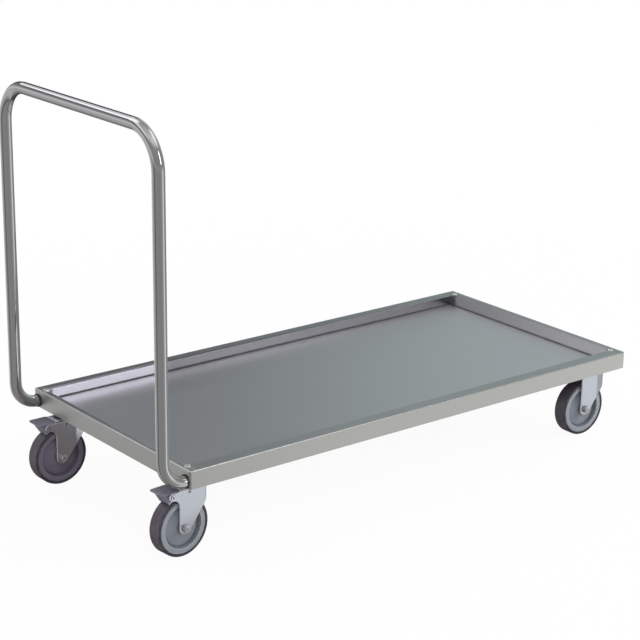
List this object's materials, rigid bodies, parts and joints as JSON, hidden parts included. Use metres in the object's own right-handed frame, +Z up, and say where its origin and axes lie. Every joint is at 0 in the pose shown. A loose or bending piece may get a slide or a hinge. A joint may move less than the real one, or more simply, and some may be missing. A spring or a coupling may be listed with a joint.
{
  "type": "platform trolley",
  "caption": "Low stainless platform trolley with a rimmed deck tray, a bent-tube push handle, braked swivel castors at the handle end and fixed castors at the far end.",
  "frame": {"origin": "on the floor, under the middle of the whole trolley's bounding box", "axes": "+X along the platform, away from the push handle; +Y to the pusher's left; +Z up"},
  "size_m": [1.265, 0.585, 0.88],
  "materials": {
    "deck_steel": "fine brushed stainless sheet",
    "handle_steel": "polished stainless tube",
    "rivet_steel": "smooth stainless",
    "zinc_steel": "bluish zinc-plated pressed steel",
    "zinc_fasteners": "zinc-plated",
    "bearing_steel": "ground and polished",
    "collar_rubber": "soft black",
    "plug_plastic": "moulded black",
    "seal_plastic": "moulded black",
    "pedal_plastic": "moulded dark grey",
    "wheel_plastic": "moulded mid grey",
    "tread": "smooth grey non-marking tread"
  },
  "bodies": {
    "platform": {"deck_tray": "deck_steel", "cross_channel_handle_end": "deck_steel", "cross_channel_far_end": "deck_steel", "deck_stiffeners": "deck_steel", "corner_rivets": "rivet_steel", "push_handle": "handle_steel", "foot_collars": "collar_rubber", "tube_plugs": "plug_plastic", "lock_screws": "zinc_fasteners", "plate_bolts_handle_end": "zinc_fasteners", "plate_nuts_handle_end": "zinc_fasteners", "plate_bolts_far_end": "zinc_fasteners", "plate_nuts_far_end": "zinc_fasteners", "castor_plate_swivel_left": "zinc_steel", "kingpin_left": "zinc_fasteners", "kingpin_nut_left": "zinc_fasteners", "castor_plate_fixed_left": "zinc_steel", "fork_fixed_left": "zinc_steel", "axle_sleeve_fixed_left": "zinc_fasteners", "axle_bolt_fixed_left": "zinc_fasteners", "axle_nut_fixed_left": "zinc_fasteners", "castor_plate_swivel_right": "zinc_steel", "kingpin_right": "zinc_fasteners", "kingpin_nut_right": "zinc_fasteners", "castor_plate_fixed_right": "zinc_steel", "fork_fixed_right": "zinc_steel", "axle_sleeve_fixed_right": "zinc_fasteners", "axle_bolt_fixed_right": "zinc_fasteners", "axle_nut_fixed_right": "zinc_fasteners"},
    "wheel_swivel_left": {"wheel_core_swivel_left": "wheel_plastic", "tyre_swivel_left": "tread"},
    "wheel_fixed_left": {"wheel_core_fixed_left": "wheel_plastic", "tyre_fixed_left": "tread"},
    "swivel_left": {"fork_swivel_left": "zinc_steel", "lower_race_left": "zinc_steel", "bearing_ring_left": "bearing_steel", "dust_seal_left": "seal_plastic", "axle_sleeve_swivel_left": "zinc_fasteners", "axle_bolt_swivel_left": "zinc_fasteners", "axle_nut_swivel_left": "zinc_fasteners", "pedal_pin_left": "zinc_fasteners"},
    "pedal_left": {"brake_pedal_left": "pedal_plastic", "brake_shoe_left": "zinc_steel"},
    "wheel_swivel_right": {"wheel_core_swivel_right": "wheel_plastic", "tyre_swivel_right": "tread"},
    "wheel_fixed_right": {"wheel_core_fixed_right": "wheel_plastic", "tyre_fixed_right": "tread"},
    "swivel_right": {"fork_swivel_right": "zinc_steel", "lower_race_right": "zinc_steel", "bearing_ring_right": "bearing_steel", "dust_seal_right": "seal_plastic", "axle_sleeve_swivel_right": "zinc_fasteners", "axle_bolt_swivel_right": "zinc_fasteners", "axle_nut_swivel_right": "zinc_fasteners", "pedal_pin_right": "zinc_fasteners"},
    "pedal_right": {"brake_pedal_right": "pedal_plastic", "brake_shoe_right": "zinc_steel"}
  },
  "joints": [
    {"name": "swivel_turn_left", "type": "hinge", "parent": "platform", "child": "swivel_left", "pos_m": [-0.5295, 0.2285, 0.1515], "axis": [0, 0, 1], "continuous": true},
    {"name": "wheel_spin_swivel_left", "type": "hinge", "parent": "swivel_left", "child": "wheel_swivel_left", "pos_m": [-0.5525, 0.2285, 0.0625], "axis": [0, 1, 0], "continuous": true},
    {"name": "pedal_tilt_left", "type": "hinge", "parent": "swivel_left", "child": "pedal_left", "pos_m": [-0.5825, 0.2285, 0.1344], "axis": [0, -1, 0], "range_deg": [0, 8]},
    {"name": "wheel_spin_fixed_left", "type": "hinge", "parent": "platform", "child": "wheel_fixed_left", "pos_m": [0.5585, 0.2285, 0.0625], "axis": [0, 1, 0], "continuous": true},
    {"name": "swivel_turn_right", "type": "hinge", "parent": "platform", "child": "swivel_right", "pos_m": [-0.5295, -0.2285, 0.1515], "axis": [0, 0, 1], "continuous": true},
    {"name": "wheel_spin_swivel_right", "type": "hinge", "parent": "swivel_right", "child": "wheel_swivel_right", "pos_m": [-0.55241, -0.2305, 0.0625], "axis": [-0.0872, 0.9962, 0], "continuous": true},
    {"name": "pedal_tilt_right", "type": "hinge", "parent": "swivel_right", "child": "pedal_right", "pos_m": [-0.5823, -0.23312, 0.1344], "axis": [0.0872, -0.9962, 0], "range_deg": [0, 8]},
    {"name": "wheel_spin_fixed_right", "type": "hinge", "parent": "platform", "child": "wheel_fixed_right", "pos_m": [0.5585, -0.2285, 0.0625], "axis": [0, 1, 0], "continuous": true}
  ]
}
